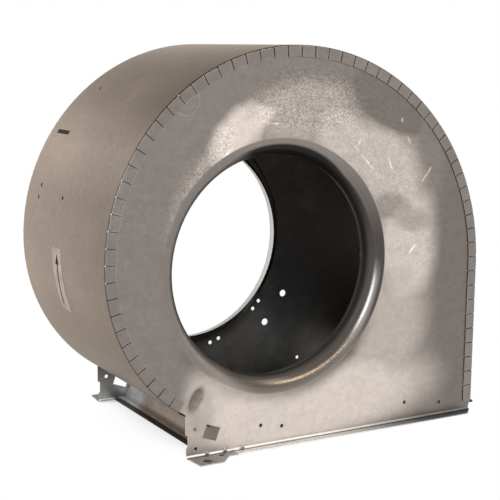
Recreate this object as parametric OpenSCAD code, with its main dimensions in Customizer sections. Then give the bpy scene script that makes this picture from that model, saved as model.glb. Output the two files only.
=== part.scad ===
// Scroll housing of a double-inlet centrifugal blower, empty, standing on its
// discharge flanges. Two side plates carry the drawn inlets and the feet. The
// wrapper sheet follows four tangent arcs round them and is locked by a row of
// tabs folded over each plate. A bent cut-off closes the discharge on the left.
// X runs along the side plates, Y across the housing and Z up from the base.

/* [Housing] */
// Width across the outer faces of the folded tabs
housing_w = 216; // [180:1:260]
// Height of the inlet axis above the base
inlet_z = 176.5; // [170:0.5:195]
// Thickness of the galvanised sheet
sheet_t = 1; // [0.7:0.05:1.3]
// Inside radius of the bends at the foot of the side plates
bend_r = 2; // [0.5:0.1:3]

/* [Scroll] */
// Outer radius of the widest scroll arc, at the top right
scroll_r = 227.5; // [218:0.5:240]
// Side of the square whose corners are the centres of the scroll arcs
scroll_step = 26.5; // [22:0.5:30]
// Distance of that square from the inlet axis, towards the discharge side
scroll_shift = 5; // [0:0.5:8]
// Distance of that square below the inlet axis
scroll_drop = 1; // [0:0.5:4]
// Height of the wrapper's end above the base
tail_z = 27; // [25:0.5:40]

/* [Tabs] */
// Distance from one slit to the next
tab_pitch = 15.75; // [12:0.125:20]
// Height of a folded tab from the outside of the wrapper
tab_h = 11.2; // [8:0.2:14]
// Width of the slit between two tabs
slit_w = 1.2; // [0.6:0.1:1.5]
// Height at which the row of tabs starts
tab_start_z = 10.2; // [9:0.2:16]
// Extra length of the first tab
tab_lead = 2; // [0:0.2:4]
// Depth that the slits run past the fold into the wrapper
slit_run = 0.5; // [0.2:0.1:2]
// Inside radius of the tab fold
fold_r = 0.6; // [0.4:0.1:1]
// Width of the relief notch where the row of tabs ends
notch_w = 6.5; // [3:0.5:8]
// Plain edge between the notch and the ear
notch_gap = 3.5; // [1:0.5:4]
// Depth of the relief notch into the wrapper
notch_depth = 4; // [2:0.5:6]

/* [Inlets] */
// Inside diameter of the inlet throat
throat_d = 218.4; // [190:0.2:226]
// Radius of the roll that leads from the side plate into the throat
roll_r = 17; // [10:0.5:20]
// Length of the straight throat behind the roll
throat_len = 3.7; // [2:0.1:8]

/* [Feet] */
// Width of the narrow flange along the foot of a side plate
flange_w = 12.7; // [9:0.1:16]
// Width of the wide foot at the left end of the flange
foot_w = 25.4; // [20:0.1:32]
// Length of the wide foot along its outer edge
foot_len = 27.5; // [20:0.5:32]
// Run of the slanted edge from the foot to the narrow flange
foot_slant = 12; // [8:0.5:16]
// Diameter of the mounting hole in the foot
foot_hole_d = 8.7; // [5:0.1:10]
// Distance of the mounting hole from the left edge of the ear
foot_hole_x = 15; // [10:0.5:18]
// Distance of the mounting hole from the outer face of the side plate
foot_hole_y = 16.5; // [12:0.5:19]
// Diameter of the small hole beside it
tie_hole_d = 5.6; // [3:0.1:6]
// Distance of the small hole from the left edge of the ear
tie_hole_x = 34.5; // [30:0.5:40]
// Distance of the small hole from the outer face of the side plate
tie_hole_y = 8.3; // [6:0.1:9]

/* [Ears] */
// Distance of the ear's left edge from the inlet axis
ear_x = 101.5; // [99:0.5:104]
// Depth of the shallow step cut in the ear's left edge
ear_step = 2.5; // [1:0.25:4]
// Width of the window in the ear
window_w = 16.2; // [10:0.1:18]
// Height of the window
window_h = 13.6; // [10:0.1:16]
// Turn of the window
window_turn = 20; // [0:1:45]
// Distance of the window's middle from the inlet axis
window_x = 73.6; // [70:0.2:80]
// Height of the window's middle above the base
window_z = 22; // [20:0.5:26]
// Diameter of the screw holes along the foot of the side plates
screw_d = 4; // [3:0.1:5]

/* [Motor mount] */
// Radius of the circle of large holes in the rear side plate
motor_r = 154.5; // [150:0.5:158]
// Diameter of the large holes
motor_hole_d = 8; // [5:0.1:9]
// Angle between the two large holes of a motor arm
motor_pair_deg = 15; // [8:0.5:20]
// Radius of the circle of small holes, just outside the inlet
rivet_r = 130.5; // [130.5:0.5:134]
// Diameter of the small holes
rivet_d = 4.5; // [3:0.1:5]

/* [Cut-off] */
// Width of the flange at the foot of the cut-off
cutoff_flange = 12.5; // [10:0.5:16]
// Slope of the cut-off panel
cutoff_slope = 65; // [60:1:70]
// Length of the panel from its foot to the corner of the nose
cutoff_len = 62; // [58:0.5:65]
// Distance of the foot corner from the inlet axis
cutoff_x = 69.5; // [67:0.5:72]
// Radius of the bend at the foot of the panel
cutoff_foot_r = 12.5; // [8:0.5:14]
// Radius of the nose that faces the wheel
nose_r = 5.5; // [4:0.5:7]
// Radius of the bend where the tongue turns onto the wrapper
tongue_r = 2.5; // [1.5:0.5:4]
// Angle of the scroll between the tongue and the wrapper's end
tongue_deg = 7; // [5:0.5:10]

/* [Discharge lip] */
// Height of the lip's underside above the base
lip_z = 7; // [5.5:0.1:8]
// Distance that the lip stands out from the wrapper
lip_w = 6.5; // [4:0.5:12]
// Inside radius of the lip's bend
lip_r = 1; // [0.5:0.1:1.2]
// Cut at the lip's two corners
lip_corner = 3; // [1:0.5:5]

/* [Wrapper holes] */
// Length of the wire slot across the wrapper
wire_slot_len = 32; // [20:1:60]
// Width of the wire slot
wire_slot_w = 4.6; // [3:0.2:8]
// Distance of the wire slot's middle behind the middle of the housing
wire_slot_y = 75; // [50:1:76]
// Diameter of the small holes in the wrapper
wrapper_hole_d = 4; // [3:0.1:5]

/* [Label] */
// Width of the rotation label
label_w = 23; // [15:1:30]
// Length of the rotation label along the wrapper
label_len = 64; // [40:1:80]
// Thickness of the label
label_t = 0.2; // [0.1:0.05:0.3]
// Distance of the label's middle behind the middle of the housing
label_y = 11; // [0:1:40]

/* [Hidden] */
$fn = 144;

half_w = housing_w / 2;
plate_out = half_w - sheet_t;
plate_in = plate_out - sheet_t;
throat_r = throat_d / 2;
root_r = throat_r + roll_r;
fold_out = fold_r + sheet_t;
plate_gap = fold_r + 0.1;

// The scroll is a straight right side followed by three quarter turns
arc_r = [scroll_r, scroll_r - scroll_step, scroll_r - 2 * scroll_step];
square_x = scroll_shift;
square_z = inlet_z - scroll_drop;
half_step = scroll_step / 2;
arc_c = [
    [square_x + half_step, square_z - half_step],
    [square_x + half_step, square_z + half_step],
    [square_x - half_step, square_z + half_step]
];
right_x = arc_c[0][0] + arc_r[0];
left_x = arc_c[1][0] - arc_r[1];
quarter = [for (r = arc_r) r * PI / 2];
arc_from = [arc_c[0][1], arc_c[0][1] + quarter[0], arc_c[0][1] + quarter[0] + quarter[1]];
tail_turn = asin((arc_c[2][1] - tail_z) / arc_r[2]);

// The origin is under the middle of the whole housing
lip_tip_x = right_x + lip_w;
label_gap = 0.05;
mid_x = (lip_tip_x + left_x - label_gap - label_t) / 2;

// Distance along the scroll, from the base up the right side and round
function arc_of(s) = s < arc_from[0] ? -1 : s < arc_from[1] ? 0 : s < arc_from[2] ? 1 : 2;
function turned_by(s, k) = (s - arc_from[k]) / arc_r[k] * 180 / PI;
function turn_at(s) = arc_of(s) < 0 ? 0 : 90 * arc_of(s) + turned_by(s, arc_of(s));
function on_circle(c, r, a) = [c[0] + r * cos(a), c[1] + r * sin(a)];
function on_arc(k, a) = on_circle(arc_c[k], arc_r[k], a);
function point_at(s) = arc_of(s) < 0 ? [right_x, s] : on_arc(arc_of(s), turn_at(s));
function along(k, a) = arc_from[k] + arc_r[k] * a * PI / 180;

// The row of tabs ends where the ear's left edge leaves the scroll, or with the wrapper
scroll_end = along(2, tail_turn);
ear_turn = acos((arc_c[2][0] + ear_x) / arc_r[2]);
tab_end = along(2, min(ear_turn, tail_turn)) - notch_gap - notch_w;
slit_count = floor((tab_end - tab_start_z - tab_lead - 1) / tab_pitch);

// Stands a drawing made in X and Y up in X and Z, so that its Z runs to the front
module upright() {
    rotate([90, 0, 0]) children();
}

module place() {
    translate([-mid_x, 0, 0]) children();
}

// Stands at distance s along the scroll, with X pointing out of the housing
module at_scroll(s) {
    p = point_at(s);
    translate([p[0], p[1], 0]) rotate([0, 0, turn_at(s)]) children();
}

// Sweeps a section along the scroll. The section's X is 0 at the outer face.
module follow(from, to) {
    if (from < arc_from[0]) {
        top = min(to, arc_from[0]);
        translate([right_x, top, 0]) rotate([90, 0, 0]) linear_extrude(top - from) children();
    }
    for (k = [0:2]) {
        a = max(from, arc_from[k]);
        b = min(to, arc_from[k] + quarter[k]);
        if (b > a)
            translate([arc_c[k][0], arc_c[k][1], 0])
                rotate([0, 0, turn_at(a)])
                    rotate_extrude(angle = (b - a) / arc_r[k] * 180 / PI)
                        translate([arc_r[k], 0]) children();
    }
}

// Section of the wrapper with both rows of tabs folded in
module channel_section() {
    web_half = half_w - fold_out;
    translate([-sheet_t, -web_half]) square([sheet_t, 2 * web_half]);
    for (side = [0, 1]) mirror([0, side]) {
        intersection() {
            translate([-fold_out, web_half]) difference() {
                circle(fold_out, $fn = 48);
                circle(fold_r, $fn = 48);
            }
            translate([-fold_out, web_half]) square(fold_out + 1);
        }
        translate([-tab_h, plate_out]) square([tab_h - fold_out, sheet_t]);
    }
}

// Section of the wrapper where it lies between the side plates
module strip_section() {
    translate([-sheet_t, -plate_in]) square([sheet_t, 2 * plate_in]);
}

module tab_slits() {
    cut = tab_h + 2;
    for (k = [1:slit_count])
        at_scroll(tab_start_z + tab_lead + k * tab_pitch)
            for (side = [0, 1])
                mirror([0, 0, side])
                    translate([1 - cut, -slit_w / 2, half_w - fold_out - slit_run])
                        cube([cut, slit_w, fold_out + slit_run + 1]);
}

module relief_notches() {
    at_scroll(tab_end + notch_w / 2)
        for (side = [0, 1])
            mirror([0, 0, side])
                translate([-5, -notch_w / 2, plate_in - notch_depth]) cube([10, notch_w, notch_depth + 5]);
}

module wrapper_hole(s, y) {
    at_scroll(s) translate([0, 0, -y]) rotate([0, 90, 0])
        cylinder(d = wrapper_hole_d, h = 10, center = true, $fn = 32);
}

module wire_slot(s) {
    at_scroll(s) translate([0, 0, -wire_slot_y]) cube([10, wire_slot_w, wire_slot_len], center = true);
}

// The wrapper's end bends outwards into a short lip with cut corners
module discharge_lip() {
    outer = lip_r + sheet_t;
    bend_c = lip_z + outer;
    translate([right_x + lip_r, bend_c, 0]) rotate([0, 0, 180])
        rotate_extrude(angle = 90) translate([lip_r, -plate_in]) square([sheet_t, 2 * plate_in]);
    difference() {
        translate([right_x + lip_r, lip_z, -plate_in]) cube([lip_w - lip_r, sheet_t, 2 * plate_in]);
        for (side = [0, 1])
            mirror([0, 0, side])
                translate([lip_tip_x, bend_c, plate_in]) rotate([90, 0, 0])
                    linear_extrude(2 * outer) polygon([
                        [-lip_corner, 0], [-lip_corner, 1], [1, 1], [1, -lip_corner], [0, -lip_corner]
                    ]);
    }
}

module scroll_wrapper() {
    lip_top = lip_z + sheet_t + lip_r;
    color([0.60, 0.56, 0.51]) place() upright() difference() {
        union() {
            follow(tab_start_z, tab_end) channel_section();
            follow(arc_from[2], scroll_end) strip_section();
            follow(lip_top, tab_start_z) strip_section();
            discharge_lip();
        }
        tab_slits();
        relief_notches();
        wire_slot(along(1, wire_slot_turn));
        for (h = wrapper_holes)
            wrapper_hole(along(1, h[0]), h[1]);
    }
}

// Places on the second arc: turn from its start in degrees, and Y
wire_slot_turn = 56.3;
wrapper_holes = [[39.5, 71], [73, 73], [76.6, 73], [75, 10]];

// Outline of a side plate, in X and Z, inside the folded tabs
module plate_outline() {
    inset = sheet_t + plate_gap;
    far = 400;
    base = sheet_t + bend_r;
    intersection() {
        union() {
            intersection() {
                translate(arc_c[0]) circle(arc_r[0] - inset, $fn = 360);
                translate(arc_c[0]) square(far);
            }
            intersection() {
                translate(arc_c[1]) circle(arc_r[1] - inset, $fn = 360);
                translate(arc_c[1] - [far, 0]) square(far);
            }
            intersection() {
                translate(arc_c[2]) circle(arc_r[2] - inset, $fn = 360);
                translate(arc_c[2] - [far, far]) square(far);
            }
            polygon([
                [-ear_x + ear_base, base], [right_x - inset - corner_in, base],
                [right_x - inset, tab_start_z - 1], [right_x - inset, arc_c[0][1]],
                arc_c[0], arc_c[1], [-ear_x, arc_c[1][1]],
                [-ear_x, step_top], [-ear_x + ear_step, step_top - ear_step / 2],
                [-ear_x + ear_step, step_bottom + ear_step], [-ear_x + ear_base, step_bottom]
            ]);
        }
        translate([-far, base]) square(2 * far);
    }
}

// The ear's left edge steps in between these heights
step_top = 23.5;
step_bottom = 9.5;
ear_base = 1;
foot_taper = 2;
// The narrow flange's right end is cut at a slant
flange_mitre = 11;
// The plate's right edge runs in below the row of tabs
corner_in = 1.6;

// Outline of the flange at the foot of a side plate, in X and Y from the plate's outer face
module flange_outline() {
    left = -ear_x + ear_base;
    right = right_x - sheet_t - plate_gap - corner_in;
    polygon([
        [left, -bend_r], [left + foot_taper, -foot_w],
        [left + foot_len, -foot_w], [left + foot_len + foot_slant, -flange_w],
        [right - flange_mitre, -flange_w], [right, -bend_r]
    ]);
}

// Drawn inlet: the roll and the straight throat, round the inlet axis
module inlet_ring() {
    rotate_extrude($fn = 288) {
        intersection() {
            translate([root_r, roll_r]) difference() {
                circle(roll_r, $fn = 96);
                circle(roll_r - sheet_t, $fn = 96);
            }
            translate([throat_r, 0]) square(roll_r);
        }
        translate([throat_r, roll_r]) square([sheet_t, throat_len]);
        translate([root_r, 0]) square([2, sheet_t]);
    }
}

// Stiffening bead pressed into the plate: a capsule that dips through its outer face
module bead(grow) {
    translate([bead_at[0], bead_at[1], bead_lift]) rotate([0, 0, bead_turn]) rotate([0, 90, 0]) {
        cylinder(r = bead_r + grow, h = bead_len, center = true, $fn = 64);
        for (end = [-1, 1])
            translate([0, 0, end * bead_len / 2]) sphere(r = bead_r + grow, $fn = 64);
    }
}

// The bead lies this far inside the last arc, at this turn of it, and runs this way
bead_in = 19.7;
bead_place = 58;
bead_at = on_circle(arc_c[2], arc_r[2] - bead_in, 180 + bead_place);
bead_turn = 60;
bead_len = 11;
bead_r = 6.8;
bead_lift = 4.6;

// Dart pressed into the bend: a round rib that slants from the flange to the plate
module dart(x, r) {
    translate([x, -dart_out / 2, sheet_t + dart_out / 2]) rotate([-45, 0, 0])
        cylinder(r = r, h = 24, center = true, $fn = 48);
}

dart_x = [-79, -59.5, -40];
dart_r = 2.2;
dart_out = 1.2;

// Side plate with its outer face towards the front and in the plane Y = 0
module side_plate(holes) {
    bend_c = sheet_t + bend_r;
    left = -ear_x + ear_base;
    right = right_x - sheet_t - plate_gap - corner_in;
    difference() {
        union() {
            upright() translate([0, 0, -sheet_t]) linear_extrude(sheet_t) difference() {
                plate_outline();
                translate([0, inlet_z]) circle(root_r + 1, $fn = 288);
            }
            translate([0, 0, inlet_z]) rotate([-90, 0, 0]) inlet_ring();
            upright() intersection() {
                bead(sheet_t);
                translate([bead_at[0] - 20, bead_at[1] - 20, -10]) cube([40, 40, 10 - sheet_t / 2]);
            }
            linear_extrude(sheet_t) flange_outline();
            translate([left, -bend_r, bend_c]) rotate([0, 90, 0]) intersection() {
                difference() {
                    cylinder(r = bend_c, h = right - left, $fn = 64);
                    translate([0, 0, -1]) cylinder(r = bend_r, h = right - left + 2, $fn = 48);
                }
                cube([bend_c, bend_c, right - left]);
            }
            for (x = dart_x)
                intersection() {
                    dart(x, dart_r);
                    translate([x - 10, -20 + sheet_t / 2, sheet_t / 2]) cube([20, 20, 20]);
                }
        }
        upright() bead(0);
        for (x = dart_x)
            dart(x, dart_r - sheet_t);
        upright() for (h = holes)
            translate(h) cylinder(d = screw_d, h = 10, center = true, $fn = 32);
        translate([-window_x, 0, window_z]) rotate([0, window_turn, 0])
            cube([window_w, 10, window_h], center = true);
        translate([-ear_x + foot_hole_x, -foot_hole_y, 0])
            cylinder(d = foot_hole_d, h = 10, center = true, $fn = 48);
        translate([-ear_x + tie_hole_x, -tie_hole_y, 0])
            cylinder(d = tie_hole_d, h = 10, center = true, $fn = 32);
    }
}

// Screw holes in both side plates, X and Z, and the one at the foot of the front ear
screw_holes = [[-91.5, 28], [-19, 21], [5.2, 17], [156, 20], [202, 14]];
front_ear_hole = [-90.6, 8.2];

module front_side_plate() {
    color([0.66, 0.63, 0.60]) place() translate([0, -plate_out, 0])
        side_plate(concat(screw_holes, [front_ear_hole]));
}

// Three pairs of large and six pairs of small holes take the arms of a motor mount
module motor_holes() {
    for (arm = [0:2]) {
        for (side = [-1, 1])
            rotate([0, 0, arm_turn + 120 * arm + side * motor_pair_deg / 2])
                translate([motor_r, 0, 0]) cylinder(d = motor_hole_d, h = 10, center = true, $fn = 48);
        for (pair = rivet_turns, side = [-1, 1])
            rotate([0, 0, pair + 120 * arm + side * rivet_pair_deg / 2])
                translate([rivet_r, 0, 0]) cylinder(d = rivet_d, h = 10, center = true, $fn = 32);
    }
}

arm_turn = -37;
rivet_turns = [-41.5, -70.7];
rivet_pair_deg = 5;

module rear_side_plate() {
    color([0.56, 0.54, 0.52]) place() difference() {
        mirror([0, 1, 0]) translate([0, -plate_out, 0]) side_plate(screw_holes);
        translate([0, plate_out, inlet_z]) upright() motor_holes();
    }
}

// Bent sheet of even thickness, from a path in X and Z with a radius at each corner
function dir(a, b) = atan2(b[1] - a[1], b[0] - a[0]);
function left_of(a) = [-sin(a), cos(a)];
function turned(a, b, c) = ((dir(b, c) - dir(a, b) + 540) % 360) - 180;
function bend_points(a, b, c, r, off) =
    let (turn = turned(a, b, c), way = dir(a, b), side = sign(turn))
    let (centre = b - r * tan(abs(turn) / 2) * [cos(way), sin(way)] + side * r * left_of(way))
    [for (k = [0:bend_steps]) centre + (off - side * r) * left_of(way + turn * k / bend_steps)];
function edge_points(path, radii, off) =
    let (last = len(path) - 1)
    concat(
        [path[0] + off * left_of(dir(path[0], path[1]))],
        [for (i = [1:last - 1], p = bend_points(path[i - 1], path[i], path[i + 1], radii[i], off)) p],
        [path[last] + off * left_of(dir(path[last - 1], path[last]))]
    );
function reversed(list) = [for (i = [len(list) - 1:-1:0]) list[i]];
bend_steps = 16;

module bent_sheet(path, radii, half_width) {
    half_t = sheet_t / 2;
    linear_extrude(2 * half_width, center = true)
        polygon(concat(edge_points(path, radii, half_t), reversed(edge_points(path, radii, -half_t))));
}

// The cut-off runs from its flange up to the nose and back down onto the wrapper's inner face
module cutoff_plate() {
    seat_turn = 180 + tail_turn - tongue_deg;
    seat_half = 2;
    seat_r = (arc_r[2] - 1.5 * sheet_t - cutoff_gap) / cos(seat_half);
    foot = [-cutoff_x, sheet_t / 2];
    nose = foot + cutoff_len * [cos(cutoff_slope), sin(cutoff_slope)];
    path = [
        foot - [cutoff_flange, 0], foot, nose,
        on_circle(arc_c[2], seat_r, seat_turn + seat_half),
        on_circle(arc_c[2], seat_r, seat_turn - seat_half)
    ];
    color([0.52, 0.49, 0.46]) place() upright()
        bent_sheet(path, [0, cutoff_foot_r, nose_r, tongue_r, 0], plate_in);
}

cutoff_gap = 0.2;

// Paper label on the left of the wrapper, bent to the last arc
module rotation_label() {
    face_r = arc_r[2] + label_gap;
    color([0.86, 0.84, 0.82]) place() upright()
        translate([arc_c[2][0], arc_c[2][1], 0])
            rotate([0, 0, 180 - label_rise / face_r * 180 / PI])
                rotate_extrude(angle = label_len / face_r * 180 / PI)
                    translate([face_r, -label_y - label_w / 2]) square([label_t, label_w]);
}

// How far the label's top stands above the start of the last arc
label_rise = 3.5;

front_side_plate();
rear_side_plate();
scroll_wrapper();
cutoff_plate();
rotation_label();
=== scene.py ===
"""Galvanised scroll housing of a double-inlet blower, on a plain white floor."""

import math
from collections import namedtuple

import bmesh
import bpy
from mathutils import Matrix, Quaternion, Vector


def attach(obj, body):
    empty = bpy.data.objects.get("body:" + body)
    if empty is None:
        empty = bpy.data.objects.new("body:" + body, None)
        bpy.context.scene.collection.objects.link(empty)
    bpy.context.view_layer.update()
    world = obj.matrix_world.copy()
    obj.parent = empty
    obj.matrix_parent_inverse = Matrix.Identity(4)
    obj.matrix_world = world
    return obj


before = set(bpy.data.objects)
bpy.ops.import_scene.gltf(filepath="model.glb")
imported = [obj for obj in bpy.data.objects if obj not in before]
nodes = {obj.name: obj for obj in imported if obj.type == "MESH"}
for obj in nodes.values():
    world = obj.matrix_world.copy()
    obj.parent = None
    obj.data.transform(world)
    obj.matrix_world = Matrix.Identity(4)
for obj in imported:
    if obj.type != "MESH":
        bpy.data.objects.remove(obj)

# Places of the housing, in metres
INLET_X = -0.034625
INLET_Z = 0.1765
ROLL_R = 0.1262  # where the inlet's roll leaves the flat sheet
ROLL_WIDTH = 0.017  # from there in to the throat
HALO_WIDTH = 0.018  # flat sheet round the roll that is shaded by it
PLATE_Y = 0.107  # outer face of the side plates, on which the tabs lie
TAB_BEND_Y = 0.1055  # where the wrapper comes near its tabs' bend
FOOT_TOP = 0.0028  # height to which the foot flange and its bend reach
LAST_ARC_X = -0.042875
LAST_ARC_Z = 0.18875
LABEL_FACE_R = 0.17475
LABEL_MIDDLE_Y = 0.011
INK_LIFT = 0.00004

FLOOR_SIZE = 12
FLOOR_Z = -0.0002
FLOOR_TONE = (0.75, 0.74, 0.73)
COVERED_TONE = 0.05
# Painted shadow on the ground that the housing covers: middle X, the middle's distance from the X
# axis, half sizes
COVERED_GROUND = (
    (0.0630, 0.0, 0.1400, 0.1150),
    (-0.1170, 0.1190, 0.0120, 0.0100),
    (-0.1016, 0.1140, 0.0060, 0.0060),
)

# Tints of the sheets, on a grey of linear light
GREY = (1.0, 0.885, 0.805)
COOL = (1.0, 0.96, 0.91)
WARM = (1.0, 0.835, 0.71)
FOOT_TINT = (0.97, 1.0, 1.03)
CUTOFF_TINT = (1.0, 0.79, 0.66)

# Make of the sheets: scales in waves per metre, sizes in metres, tones in linear light
GRAIN_SCALE = 620.0
GRAIN_HEIGHT = 0.0002
CRYSTAL_SCALE = 210.0
RING_SCALE = 420.0
SWELL_SCALE = 9.0
SWELL_HEIGHT = 0.003
EDGE_WIDTH = 0.0007
NOOK_REACH = 0.003
POLISHED_ROUGHNESS = 0.27
PLAIN_TONE = 0.25
# Painted shade in the pressed bead
BEAD_SHADE_TONE = 0.22
# Painted reflection on the rear throat's wall
WALL_REFLECTION_TONE = 0.95

# Camera that took the reference view
CAMERA_PLACE = (-0.635115, -1.09573, 0.38712)
CAMERA_AZIMUTH = math.radians(29.883)
CAMERA_DIP = math.radians(9.519)
CAMERA_ROLL = math.radians(0.525)
CAMERA_LENS_MM = 87.44
CAMERA_SENSOR_MM = 36
CAMERA_SHIFT = (-0.00103, 0.00129)

# Soft boxes: name, place, aim, size, power in watts, tint, turn in degrees
WHITE = (1.0, 1.0, 1.0)
SOFT_BOXES = (
    ("window", (-1.15, -2.3, 0.72), (0, 0, 0.2), (0.8, 1.2), 20, (0.74, 0.86, 1.0), 0.0),
    ("ceiling_strip", (0.335, -2.05, 1.6), (0.335, -2.05, 0), (0.24, 2.65), 26,
     (1.0, 0.83, 0.62), 29.7),
    ("skylight", (0.68, -0.35, 1.2), (0.1, -0.1, 0.1), (0.35, 0.3), 1.3, WHITE, 0.0),
    ("left_box", (-2.0, 0.2, 1.6), (0, 0, 0.2), (1.6, 1.2), 10, WHITE, 0.0),
)

# Zones of the front plate: middle X and Z, half length, half height, turn in degrees, strength
# The bright zones are painted highlights on the plate
PAINTED_HIGHLIGHT_ZONES = (
    (-0.082, 0.307, 0.052, 0.025, 40, 1.32),
    (-0.062, 0.322, 0.028, 0.016, 10, 1.25),
    (-0.010, 0.326, 0.080, 0.040, 6, 0.56),
    (0.045, 0.295, 0.070, 0.040, -38, 0.90),
    (0.092, 0.265, 0.078, 0.052, -62, 0.88),
    (0.118, 0.188, 0.050, 0.090, 0, 1.05),
    (0.094, 0.110, 0.066, 0.105, -4, 0.72),
    (0.000, 0.035, 0.200, 0.060, 3, 1.22),
    (-0.090, 0.052, 0.062, 0.058, 15, 1.14),
    (-0.118, 0.272, 0.050, 0.018, 55, 0.40),
    (-0.140, 0.225, 0.018, 0.070, -8, 0.22),
)
# The dark zones are painted dark reflections on the plate
PAINTED_DARK_REFLECTION_ZONES = (
    (0.090, 0.333, 0.055, 0.027, -38, 0.72),
    (0.099, 0.231, 0.036, 0.017, -12, 0.55),
    (0.124, 0.215, 0.034, 0.018, -20, 0.50),
    (0.195, 0.160, 0.052, 0.230, 0, 0.16),
    (0.105, 0.150, 0.024, 0.016, 0, 0.14),
    (-0.118, 0.042, 0.020, 0.034, 0, 0.36),
)
GRAIN_ZONES = (
    (0.000, 0.335, 0.095, 0.045, 0, 1.00),
    (0.085, 0.280, 0.095, 0.070, -45, 0.40),
    (-0.118, 0.272, 0.070, 0.022, 55, 0.90),
    (-0.140, 0.225, 0.022, 0.080, -8, 0.60),
    (0.130, 0.190, 0.040, 0.050, 0, 0.35),
)
# Pressed bead beside each ear: middle X and Z, half length, half height, turn in degrees
BEAD = (-0.125, 0.0575, 0.018, 0.0088, 60)
# Scratches: middle X and Z, length, turn in degrees
SCRATCHES = (
    (0.0609, 0.2809, 0.041, -45),
    (0.0556, 0.2930, 0.015, 68),
    (0.1258, 0.1826, 0.017, 43),
    (0.1420, 0.2600, 0.021, 54),
    (0.1080, 0.3165, 0.006, 80),
    (0.1170, 0.2960, 0.008, -60),
    (0.0950, 0.2720, 0.016, -62),
    (-0.0454, 0.3168, 0.024, -6),
    (-0.1202, 0.2673, 0.017, 57),
    (-0.0985, 0.2850, 0.022, 38),
)
SCRATCH_HALF_WIDTH = 0.0015
# Ring scribed on the front plate: middle X and Z, radius
SCRIBED_RING = (-0.1355, 0.3385, 0.0135)
# Half width of a zone along Y, past the whole housing
ALL_THROUGH = 100


class Mixer:
    """Builds node fields in one tree. A value is a socket, a number or a colour of 3 numbers."""

    def __init__(self, tree):
        self.tree = tree

    def put(self, value, socket):
        if isinstance(value, bpy.types.NodeSocket):
            self.tree.links.new(value, socket)
        elif socket.type == "RGBA":
            colour = value if isinstance(value, tuple) else (value, value, value)
            socket.default_value = (*colour, 1)
        else:
            socket.default_value = value

    def node(self, kind, inputs=None, **settings):
        made = self.tree.nodes.new(kind)
        for key, value in settings.items():
            setattr(made, key, value)
        for key, value in (inputs or {}).items():
            self.put(value, made.inputs[key])
        return made

    def math(self, operation, *values):
        made = self.node("ShaderNodeMath", operation=operation)
        for value, socket in zip(values, made.inputs):
            self.put(value, socket)
        return made.outputs[0]

    def times(self, first, second):
        return self.math("MULTIPLY", first, second)

    def minus(self, first, second):
        return self.math("SUBTRACT", first, second)

    def rest(self, field):
        """What the field leaves of 1."""
        return self.minus(1.0, field)

    def line(self, field, slope, start):
        return self.math("MULTIPLY_ADD", field, slope, start)

    def over(self, field, limit):
        return self.math("GREATER_THAN", field, limit)

    def under(self, field, limit):
        return self.math("LESS_THAN", field, limit)

    def larger(self, first, second):
        return self.math("MAXIMUM", first, second)

    def total(self, first, *others):
        for other in others:
            first = self.math("ADD", first, other)
        return first

    def swing(self, field, amount):
        """The field's deviation from its middle, times the amount."""
        return self.times(self.minus(field, 0.5), amount)

    def vector(self, operation, *values):
        made = self.node("ShaderNodeVectorMath", operation=operation)
        for value, socket in zip(values, made.inputs):
            self.put(value, socket)
        return made.outputs["Value"] if operation in ("LENGTH", "DOT_PRODUCT") else made.outputs[0]

    def parts(self, place):
        """The place's outputs X, Y and Z."""
        return self.node("ShaderNodeSeparateXYZ", {0: place}).outputs

    def ramp(self, field, *stops, ease=False):
        """Maps a field to greys or colours, given as (place, value) from left to right."""
        made = self.node("ShaderNodeValToRGB", {"Fac": field})
        made.color_ramp.interpolation = "EASE" if ease else "LINEAR"
        elements = made.color_ramp.elements
        while len(elements) < len(stops):
            elements.new(0.5)
        for element, (place, value) in zip(elements, stops):
            colour = value if isinstance(value, tuple) else (value, value, value)
            element.position = place
            element.color = (*colour, 1)
        return made.outputs["Color"]

    def mix(self, factor, first, second):
        made = self.node("ShaderNodeMix", data_type="RGBA")
        for value, index in ((factor, 0), (first, 6), (second, 7)):
            self.put(value, made.inputs[index])
        return made.outputs[2]

    def noise(self, place, scale, detail=3.0, roughness=0.55):
        made = self.node("ShaderNodeTexNoise", {
            "Vector": place, "Scale": scale, "Detail": detail, "Roughness": roughness})
        return made.outputs["Fac"]

    def stretched(self, place, scale):
        return self.vector("MULTIPLY", place, scale)

    def warped(self, place, scale, amount):
        """The place moved about by a noise, so that what is drawn there gets ragged edges."""
        wander = self.node("ShaderNodeTexNoise", {"Vector": place, "Scale": scale, "Detail": 4.0})
        shift = self.vector("SUBTRACT", wander.outputs["Color"], (0.5, 0.5, 0.5))
        return self.vector("ADD", place, self.stretched(shift, (amount, amount, amount)))

    def zone(self, place, middle_x, middle_z, half_length, half_height, turn):
        """1 in the middle of an ellipse in X and Z, easing to 0 at its edge."""
        local = self.node("ShaderNodeMapping", {
            "Vector": place,
            "Location": (middle_x, 0, middle_z),
            "Rotation": (0, -math.radians(turn), 0),
            "Scale": (half_length, ALL_THROUGH, half_height),
        }, vector_type="TEXTURE")
        ball = self.node("ShaderNodeTexGradient", {"Vector": local.outputs[0]},
                         gradient_type="SPHERICAL")
        return self.ramp(ball.outputs["Fac"], (0.0, 0.0), (0.55, 1.0), ease=True)

    def zones(self, place, table):
        """The strongest of the table's zones at each place."""
        field = 0.0
        for *shape, strength in table:
            field = self.larger(field, self.times(self.zone(place, *shape), strength))
        return field


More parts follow.
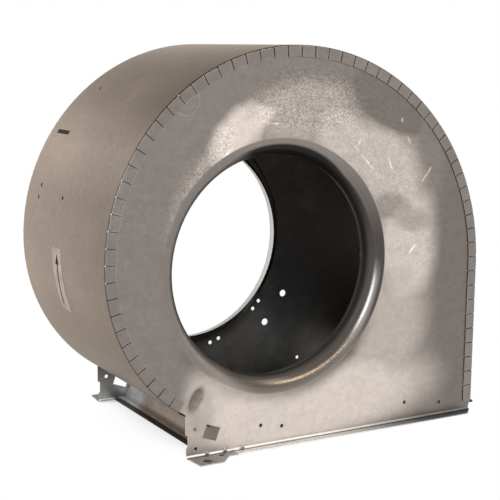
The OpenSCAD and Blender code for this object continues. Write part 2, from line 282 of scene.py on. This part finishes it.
class Finish(Mixer):
    """A material with its Principled shader and the fields that all finishes use."""

    def __init__(self, name):
        self.material = bpy.data.materials.new(name)
        self.material.use_nodes = True
        super().__init__(self.material.node_tree)
        self.shader = self.tree.nodes["Principled BSDF"]
        coordinates = self.node("ShaderNodeTexCoord")
        self.place = coordinates.outputs["Object"]
        self.facing = coordinates.outputs["Normal"]

    def set(self, **values):
        for key, value in values.items():
            self.put(value, self.shader.inputs[key.replace("_", " ")])

    def depth(self):
        """Distance of the place from the middle plane between the side plates."""
        return self.math("ABSOLUTE", self.parts(self.place)["Y"])

    def offset(self, x, z):
        """Way from a point of the side plates to the place, in X and Z."""
        return self.stretched(self.vector("SUBTRACT", self.place, (x, 0, z)), (1, 0, 1))

    def edges(self):
        """1 along the sheet's cut edges and folds, 0 on its flats."""
        rounded = self.node("ShaderNodeBevel", {"Radius": EDGE_WIDTH}, samples=4)
        flat = self.node("ShaderNodeNewGeometry")
        likeness = self.vector("DOT_PRODUCT", rounded.outputs[0], flat.outputs["Normal"])
        return self.ramp(likeness, (0.72, 1.0), (0.9, 0.0))

    def crease_shade(self):
        """Painted shade: 1 on open sheet, darker along the bends and under the tabs."""
        nook = self.node("ShaderNodeAmbientOcclusion", {"Distance": NOOK_REACH}, samples=8)
        return self.ramp(nook.outputs["AO"], (0.4, 0.3), (0.75, 1.0))

    def crystals(self):
        """One grey for each zinc crystal, a few millimetres across."""
        cells = self.node("ShaderNodeTexVoronoi", {
            "Vector": self.warped(self.place, 90.0, 0.006), "Scale": CRYSTAL_SCALE})
        return self.node("ShaderNodeSeparateColor", {0: cells.outputs["Color"]}).outputs[0]


# What a finish says of its place: grey tone, tint, 1 where polished, grit, painted highlight on the
# edges and metallic share
Look = namedtuple("Look", "tone tint polish grit sharp metal", defaults=(0.0, 0.06, 0.16, 1.0))


def zinc(name, look_of, gloss=0.42, rim=WHITE, streaky=0.16):
    """Galvanised sheet. Its tone is a grey of linear light, with streaks, crystals and grain."""
    finish = Finish(name)
    tone, tint, polish, grit, sharp, metal = look_of(finish)
    grain = finish.noise(finish.place, GRAIN_SCALE, 2.0, 0.7)
    streaks = finish.noise(finish.stretched(finish.place, (5, 60, 45)), 4.0, 4.0)
    sharp_grain = finish.swing(finish.ramp(grain, (0.36, 0.0), (0.64, 1.0)), 1.0)
    fine = finish.total(finish.swing(streaks, streaky), finish.swing(finish.crystals(), 0.10),
                        finish.times(sharp_grain, grit))
    fine = finish.line(fine, finish.rest(polish), 1.0)
    # A painted highlight is added along the cut edges and folds
    tone = finish.total(finish.times(tone, fine), finish.times(finish.edges(), sharp))
    swell = finish.node("ShaderNodeBump", {
        "Height": finish.noise(finish.place, SWELL_SCALE, 1.0), "Distance": SWELL_HEIGHT,
        "Strength": 0.25})
    bump = finish.node("ShaderNodeBump", {
        "Height": grain, "Distance": GRAIN_HEIGHT, "Strength": finish.times(grit, 0.5),
        "Normal": swell.outputs[0]})
    matt = finish.total(gloss, finish.swing(streaks, 0.12))
    finish.set(Base_Color=finish.vector("MULTIPLY", tone, tint), Metallic=metal,
               Roughness=finish.mix(polish, matt, POLISHED_ROUGHNESS), Specular_Tint=rim,
               Specular_IOR_Level=0.2, Normal=bump.outputs[0])
    return finish.material


def round_inlet(finish):
    """Fields of an inlet: 1 on its roll, 1 on its left, the way down the roll to the throat, the
    cosines towards the right and up, and the radius."""
    offset = finish.offset(INLET_X, INLET_Z)
    radius = finish.vector("LENGTH", offset)
    rolled = finish.ramp(finish.times(radius, 1 / ROLL_R), (0.988, 1.0), (1.0, 0.0), ease=True)
    down = finish.times(finish.minus(ROLL_R, radius), 1 / ROLL_WIDTH)
    toward = finish.vector("NORMALIZE", offset)
    right = finish.vector("DOT_PRODUCT", toward, (0.996, 0, -0.087))
    up = finish.vector("DOT_PRODUCT", toward, (0, 0, 1))
    left = finish.ramp(finish.times(right, -1.0), (0.3, 0.0), (0.7, 1.0), ease=True)
    return rolled, left, down, right, up, radius


def rolled_painted_light(finish, left, down, right, up, radius):
    """Tone of the polished roll, with painted reflections and painted shade, and 1 in its throat.
    """
    # Painted dark reflection, darker towards the right of the roll
    outer = finish.ramp(right, (0.0, 0.25), (0.42, 0.25), (0.62, 0.21), (0.85, 0.15), (0.97, 0.08))
    # Painted dark reflection: at the bottom it starts as light as the plate and darkens inwards,
    # less so towards the left
    low = finish.ramp(finish.times(up, -1.0), (0.55, 0.0), (0.9, 1.0), ease=True)
    fade = finish.ramp(down, (0.0, 0.42), (0.05, 0.34), (0.1, 0.26), (0.2, 0.18), (0.6, 0.17))
    lighter = finish.ramp(finish.times(right, -1.0), (0.1, 1.0), (0.5, 2.1))
    outer = finish.mix(low, outer, finish.times(fade, lighter))
    # A painted highlight halfway down, below the inlet's middle
    halfway = finish.ramp(down, (0.2, 0.0), (0.36, 1.0), (0.6, 1.0), (0.68, 0.0))
    below = finish.ramp(finish.total(up, 0.8), (0.0, 0.0), (0.3, 1.0), (0.6, 1.0), (0.8, 0.0))
    outer = finish.total(outer, finish.times(finish.times(halfway, below), 0.16))
    # Painted shade in the throat, darkest at the top, where it also starts further out
    early = finish.times(finish.ramp(up, (0.75, 0.0), (1.0, 1.0)), 0.3)
    deep = finish.ramp(finish.total(down, early), (0.60, 0.0), (0.74, 1.0))
    deep = finish.times(deep, finish.rest(left))
    throat = finish.ramp(finish.line(up, 0.5, 0.5),
                         (0.05, 0.16), (0.25, 0.11), (0.5, 0.09), (0.95, 0.02))
    throat = finish.times(throat, finish.ramp(down, (0.9, 1.0), (0.99, 0.4)))
    # Fine rings drawn round it
    across = finish.node("ShaderNodeCombineXYZ", {0: radius, 1: finish.depth()})
    rings = finish.swing(finish.noise(across.outputs[0], RING_SCALE), 0.5)
    tone = finish.times(finish.mix(deep, outer, throat), finish.total(1.0, rings))
    return finish.mix(left, tone, finish.ramp(down, (0.35, 0.25), (0.7, 0.45))), deep


def roll_painted_shade(finish, right, up, radius):
    """Painted shade: the share of the light that the roll takes from the flat sheet under it."""
    beyond = finish.times(finish.minus(radius, ROLL_R), 1 / HALO_WIDTH)
    near = finish.ramp(beyond, (0.0, 1.0), (0.25, 0.6), (0.5, 0.2), (0.75, 0.0))
    below = finish.ramp(finish.times(up, -1.0), (0.35, 0.0), (0.8, 1.0), ease=True)
    share = finish.ramp(finish.line(right, 0.5, 0.5), (0.3, 0.30), (0.48, 0.38), (0.7, 0.60))
    return finish.times(finish.times(near, below), share)


def foot_tone(finish):
    """1 on the foot flange and its bend, and their tone, with a painted highlight and a painted
    shade line along the bend.
    """
    parts = finish.parts(finish.place)
    run = finish.line(parts["X"], 2.0, 0.5)
    out = finish.times(finish.minus(finish.depth(), PLATE_Y), 100.0)
    # Painted highlight along the bend, a painted shade line below it, then the light flange
    tone = finish.ramp(out, (0.0, 0.80), (0.16, 0.80), (0.2, 0.25), (0.4, 0.27), (0.5, 0.98))
    wide_foot = finish.times(finish.over(out, 0.2), finish.under(run, 0.33))
    tone = finish.times(tone, finish.line(wide_foot, -0.48, 1.0))
    tone = finish.times(tone, finish.ramp(run, (0.55, 1.0), (0.8, 0.3)))
    return finish.under(parts["Z"], FOOT_TOP), tone


def plate_look(finish, flat, grit, tint, shade=1.0, wall=0.0):
    """Adds the inlet's roll, the bead, the bend and the foot flange to the flat sheet's tone, with
    painted shade round the roll, in the bead and in creases.
    Shade is a painted shade that darkens the roll, and wall is 1 where the roll gets a painted
    white reflection."""
    rolled, left, down, right, up, radius = round_inlet(finish)
    roll, deep = rolled_painted_light(finish, left, down, right, up, radius)
    # Painted shade on the roll, and a painted white reflection where wall is 1
    roll = finish.mix(wall, finish.times(roll, shade), WALL_REFLECTION_TONE)
    bead = finish.zone(finish.place, *BEAD)
    # Painted shade on the flat sheet round the roll, in the bead and in the creases
    flat = finish.times(flat, finish.rest(roll_painted_shade(finish, right, up, radius)))
    flat = finish.times(finish.mix(bead, flat, BEAD_SHADE_TONE), finish.crease_shade())
    at_foot, foot = foot_tone(finish)
    off_roll = finish.rest(rolled)
    metal = finish.rest(finish.times(finish.times(rolled, deep), 0.6))
    return Look(
        tone=finish.mix(rolled, finish.mix(at_foot, flat, foot), roll),
        tint=finish.mix(at_foot, tint, FOOT_TINT),
        polish=finish.times(rolled, finish.rest(left)),
        grit=finish.times(off_roll, grit),
        sharp=finish.times(off_roll, 0.16),
        metal=finish.times(metal, finish.line(bead, -0.75, 1.0)),
    )


def scratched(finish):
    """1 in the scratches and weaker in the scribed ring, worn away in places."""
    field = 0.0
    for x, z, length, turn in SCRATCHES:
        ragged = finish.warped(finish.place, 90.0, 0.005)
        stroke = finish.zone(ragged, x, z, length / 1.6, SCRATCH_HALF_WIDTH, turn)
        field = finish.larger(field, stroke)
    x, z, radius = SCRIBED_RING
    away = finish.minus(finish.vector("LENGTH", finish.offset(x, z)), radius)
    away_mm = finish.times(finish.math("ABSOLUTE", away), 1000.0)
    ring = finish.ramp(away_mm, (0.2, 0.35), (0.5, 0.0))
    wear_and_sheen_patches = finish.ramp(finish.noise(finish.place, 150.0, 2.0), (0.36, 0.0), (0.58, 1.0))
    return finish.times(finish.larger(field, ring), wear_and_sheen_patches)


def front_look(finish):
    """Bloomed and scratched plate, with painted highlights and painted dark reflections in zones
    with ragged edges.
    """
    ragged = finish.warped(finish.place, 16.0, 0.022)
    # Painted highlights less painted dark reflections, clouded more where the sheet is grainy
    painted_sheen = finish.minus(finish.zones(ragged, PAINTED_HIGHLIGHT_ZONES), finish.zones(ragged, PAINTED_DARK_REFLECTION_ZONES))
    grainy = finish.zones(ragged, GRAIN_ZONES)
    clouds = finish.swing(finish.noise(finish.place, 38.0, 6.0, 0.65),
                          finish.line(grainy, 1.1, 0.15))
    painted_sheen = finish.times(finish.larger(painted_sheen, -0.12), finish.total(1.0, clouds))
    flat = finish.total(PLAIN_TONE, finish.times(painted_sheen, 0.37), finish.times(scratched(finish), 0.4))
    return plate_look(finish, flat, finish.line(grainy, 0.6, 0.04), GREY)


def rear_look(finish):
    """Plate with soft clouds. Its roll has painted shade inside the housing, and its throat's wall
    a painted reflection of the white behind the housing."""
    clouds = finish.ramp(finish.noise(finish.place, 7.0, 4.0), (0.45, 0.0), (0.7, 1.0), ease=True)
    depth = finish.times(finish.depth(), 9.0)
    # Painted shade on the roll deep inside the housing
    inside = finish.ramp(depth, (0.82, 0.3), (0.93, 1.0))
    # Painted reflection of the white behind the housing on the throat's wall near the lip
    outwards = finish.vector("NORMALIZE", finish.offset(INLET_X, INLET_Z))
    facing_out = finish.vector("DOT_PRODUCT", finish.facing, outwards)
    near_lip = finish.ramp(depth, (0.86, 1.0), (0.93, 0.0))
    wall = finish.times(finish.under(facing_out, -0.8), near_lip)
    return plate_look(finish, finish.line(clouds, 0.25, 0.2), 0.12, COOL, inside, wall)


def wrapper_look(finish):
    """Warm sheet with painted light and shade banded from its foot to its top, with the tabs as
    grey as the plates.
    """
    parts = finish.parts(finish.warped(finish.place, 5.0, 0.03))
    # Painted light and shade, banded by height
    painted_light_bands = finish.ramp(
        finish.times(parts["Z"], 2.5),
        (0.10, 0.09), (0.20, 0.23), (0.38, 0.36), (0.50, 0.34), (0.62, 0.34), (0.73, 0.46),
        (0.79, 0.44), (0.84, 0.38), (0.91, 0.36), (0.95, 0.41), (1.0, 0.56))
    rolling = finish.noise(finish.stretched(finish.place, (6, 90, 6)), 3.0, 4.0)
    clouds = finish.noise(finish.place, 14.0, 4.0)
    across = finish.line(parts["Y"], 1.7, 1.0)
    fine = finish.total(across, finish.swing(rolling, 0.05), finish.swing(clouds, 0.36))
    depth = finish.depth()
    tabs = finish.over(depth, PLATE_Y - 0.0003)
    tab_tone = finish.total(PLAIN_TONE, finish.swing(clouds, 0.14))
    # Painted shade along the fold over into the tabs
    bend = finish.ramp(finish.times(finish.minus(depth, TAB_BEND_Y), 300.0),
                       (0.2, 1.0), (0.35, 0.55), (0.66, 0.55), (0.74, 1.0))
    # Patches where the tabs' edges get their painted highlight
    wear_and_sheen_patches = finish.ramp(finish.noise(finish.place, 45.0, 2.0), (0.45, 0.1), (0.6, 0.6))
    return Look(
        tone=finish.times(finish.mix(tabs, finish.times(painted_light_bands, fine), tab_tone), bend),
        tint=finish.mix(tabs, WARM, GREY),
        sharp=finish.times(finish.over(depth, PLATE_Y + 0.0004), wear_and_sheen_patches),
    )


def cutoff_look(finish):
    """Brownish sheet in patches, lighter and cooler at its far end, with painted shade at its foot
    and a painted highlight on the fold above it.
    """
    parts = finish.parts(finish.warped(finish.place, 30.0, 0.02))
    far = finish.ramp(finish.line(parts["Y"], 4.0, 0.5), (0.72, 0.0), (0.80, 1.0))
    # Painted shade at the foot and a painted highlight along the fold above it
    foot = finish.ramp(finish.times(finish.parts(finish.place)["Z"], 50.0),
                       (0.055, 0.3), (0.07, 1.8), (0.10, 1.8), (0.13, 1.0))
    patches = finish.swing(finish.noise(finish.place, 35.0, 3.0), 0.35)
    tone = finish.total(finish.times(far, 0.2), 0.35, patches)
    return Look(tone=finish.times(tone, foot), tint=finish.mix(far, CUTOFF_TINT, COOL), metal=0.6)


def label_paper():
    finish = Finish("label_paper")
    soil = finish.total(finish.noise(finish.place, 60.0, 5.0),
                        finish.swing(finish.noise(finish.place, 900.0), 0.3))
    paper = finish.ramp(soil, (0.3, (0.44, 0.36, 0.31)), (0.7, (0.74, 0.63, 0.55)))
    finish.set(Base_Color=paper, Roughness=0.7)
    return finish.material


def arrow_ink():
    finish = Finish("arrow_ink")
    wear = finish.noise(finish.place, 400.0, 3.0)
    ink = finish.ramp(wear, (0.35, (0.008, 0.008, 0.008)), (0.8, (0.04, 0.036, 0.033)))
    finish.set(Base_Color=ink, Roughness=0.7, Specular_IOR_Level=0.2)
    return finish.material


def on_label(y, z):
    """Point on the label's face, which is bent to the scroll's last arc."""
    rise = z - LAST_ARC_Z
    return (LAST_ARC_X - math.sqrt((LABEL_FACE_R + INK_LIFT) ** 2 - rise ** 2), y, z)


def rotation_arrow():
    """Plain arrow printed along the label, a thin skin on its face."""
    tip, neck, tail = 0.1865, 0.176, 0.136
    half_head, half_shaft, half_tip = 0.0046, 0.0013, 0.0002
    tip_y = LABEL_MIDDLE_Y - 0.001
    lean = 0.0035 / (tip - tail)
    form = bmesh.new()

    def strip(low, high, half_low, half_high, rows):
        """Band between two heights, in rows short enough to follow the label's bend."""
        edges = []
        for k in range(rows + 1):
            z = low + (high - low) * k / rows
            half = half_low + (half_high - half_low) * k / rows
            middle = tip_y + (tip - z) * lean
            edges.append([form.verts.new(on_label(y, z)) for y in (middle - half, middle + half)])
        for lower, upper in zip(edges, edges[1:]):
            form.faces.new((lower[0], upper[0], upper[1], lower[1]))

    strip(tail, neck, half_shaft, half_shaft, 14)
    strip(neck, tip, half_head, half_tip, 5)
    bmesh.ops.recalc_face_normals(form, faces=form.faces)
    data = bpy.data.meshes.new("rotation_arrow")
    form.to_mesh(data)
    form.free()
    made = bpy.data.objects.new("rotation_arrow", data)
    bpy.context.collection.objects.link(made)
    made.data.materials.append(arrow_ink())
    return made


def dress(node, material):
    slots = node.data.materials
    if not slots:
        slots.append(material)
    for index in range(len(slots)):
        slots[index] = material


def seen_directly(mixer):
    """1 for rays from the camera, and for those mirrored or let through by the object."""
    path = mixer.node("ShaderNodeLightPath").outputs
    mirrored = mixer.larger(path["Is Glossy Ray"], path["Is Transmission Ray"])
    return mixer.larger(path["Is Camera Ray"], mirrored)


def open_ground(mixer):
    """1 on open floor, down to 0 in the housing's painted shadow and in the painted shadow on the
    ground that it covers.
    """
    sky = mixer.node("ShaderNodeAmbientOcclusion", {"Distance": 0.8}, samples=16)
    parts = mixer.parts(mixer.node("ShaderNodeTexCoord").outputs["Object"])
    beside = mixer.math("ABSOLUTE", parts["Y"])
    field = mixer.ramp(sky.outputs["AO"], (0.06, 0.3), (0.2, 0.92), (0.34, 1.0))
    for x, y, length, width in COVERED_GROUND:
        covered = mixer.times(mixer.math("COMPARE", parts["X"], x, length),
                              mixer.math("COMPARE", beside, y, width))
        field = mixer.times(field, mixer.rest(covered))
    return field


def white_floor():
    """Pale floor that reads as white round the housing and keeps the shadow under it."""
    bpy.ops.mesh.primitive_plane_add(size=FLOOR_SIZE, location=(0, 0, FLOOR_Z))
    floor = bpy.context.object
    floor.name = "white_floor"
    material = bpy.data.materials.new("white_floor")
    material.use_nodes = True
    mixer = Mixer(material.node_tree)
    mixer.tree.nodes.clear()
    pale = mixer.node("ShaderNodeBsdfDiffuse", {"Color": FLOOR_TONE})
    strength = mixer.larger(open_ground(mixer), COVERED_TONE)
    glow = mixer.node("ShaderNodeEmission", {"Strength": strength})
    seen = mixer.node("ShaderNodeMixShader", {
        0: seen_directly(mixer), 1: pale.outputs[0], 2: glow.outputs[0]})
    mixer.node("ShaderNodeOutputMaterial", {0: seen.outputs[0]})
    floor.data.materials.append(material)


def studio_world():
    """Soft light for the object. What is seen directly is white up to the height of a wall, and
    dimmer overhead."""
    world = bpy.data.worlds.new("studio")
    bpy.context.scene.world = world
    world.use_nodes = True
    mixer = Mixer(world.node_tree)
    mixer.tree.nodes.clear()
    way = mixer.node("ShaderNodeTexCoord").outputs["Generated"]
    wall = mixer.ramp(mixer.parts(way)["Z"], (0.33, 1.0), (0.5, 0.5), (0.8, 0.3))
    soft = mixer.node("ShaderNodeBackground", {"Color": (1.0, 0.98, 0.95), "Strength": 0.45})
    white = mixer.node("ShaderNodeBackground", {"Color": WHITE, "Strength": wall})
    seen = mixer.node("ShaderNodeMixShader", {
        0: seen_directly(mixer), 1: soft.outputs[0], 2: white.outputs[0]})
    mixer.node("ShaderNodeOutputWorld", {0: seen.outputs[0]})


def soft_box(name, place, aim, size, power, tint, turn):
    lamp = bpy.data.lights.new(name, "AREA")
    lamp.shape = "RECTANGLE"
    lamp.size, lamp.size_y = size
    lamp.energy = power
    lamp.color = tint
    holder = bpy.data.objects.new(name, lamp)
    bpy.context.collection.objects.link(holder)
    holder.location = place
    facing = (Vector(aim) - Vector(place)).to_track_quat("-Z", "Y")
    holder.rotation_euler = (facing @ Quaternion((0, 0, 1), math.radians(-turn))).to_euler()


def photo_camera():
    forward = Vector((
        math.sin(CAMERA_AZIMUTH) * math.cos(CAMERA_DIP),
        math.cos(CAMERA_AZIMUTH) * math.cos(CAMERA_DIP),
        -math.sin(CAMERA_DIP),
    ))
    lens = bpy.data.cameras.new("photo_camera")
    lens.lens = CAMERA_LENS_MM
    lens.sensor_width = CAMERA_SENSOR_MM
    lens.shift_x, lens.shift_y = CAMERA_SHIFT
    camera = bpy.data.objects.new("photo_camera", lens)
    bpy.context.collection.objects.link(camera)
    camera.location = CAMERA_PLACE
    turn = forward.to_track_quat("-Z", "Y") @ Quaternion((0, 0, 1), CAMERA_ROLL)
    camera.rotation_euler = turn.to_euler()
    bpy.context.scene.camera = camera


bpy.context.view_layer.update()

photo_camera()
white_floor()
studio_world()
for soft_box_row in SOFT_BOXES:
    soft_box(*soft_box_row)

dress(nodes["front_side_plate"], zinc("side_sheet", front_look, rim=(0.6, 0.6, 0.6)))
dress(nodes["rear_side_plate"], zinc("rear_sheet", rear_look, rim=(0.35, 0.35, 0.35)))
dress(nodes["scroll_wrapper"],
      zinc("wrapper_sheet", wrapper_look, gloss=0.40, rim=(0.8, 0.74, 0.68), streaky=0.05))
dress(nodes["cutoff_plate"], zinc("cutoff_sheet", cutoff_look))
dress(nodes["rotation_label"], label_paper())

arrow = rotation_arrow()
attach(arrow, "root")

bpy.context.scene.view_settings.view_transform = "Standard"
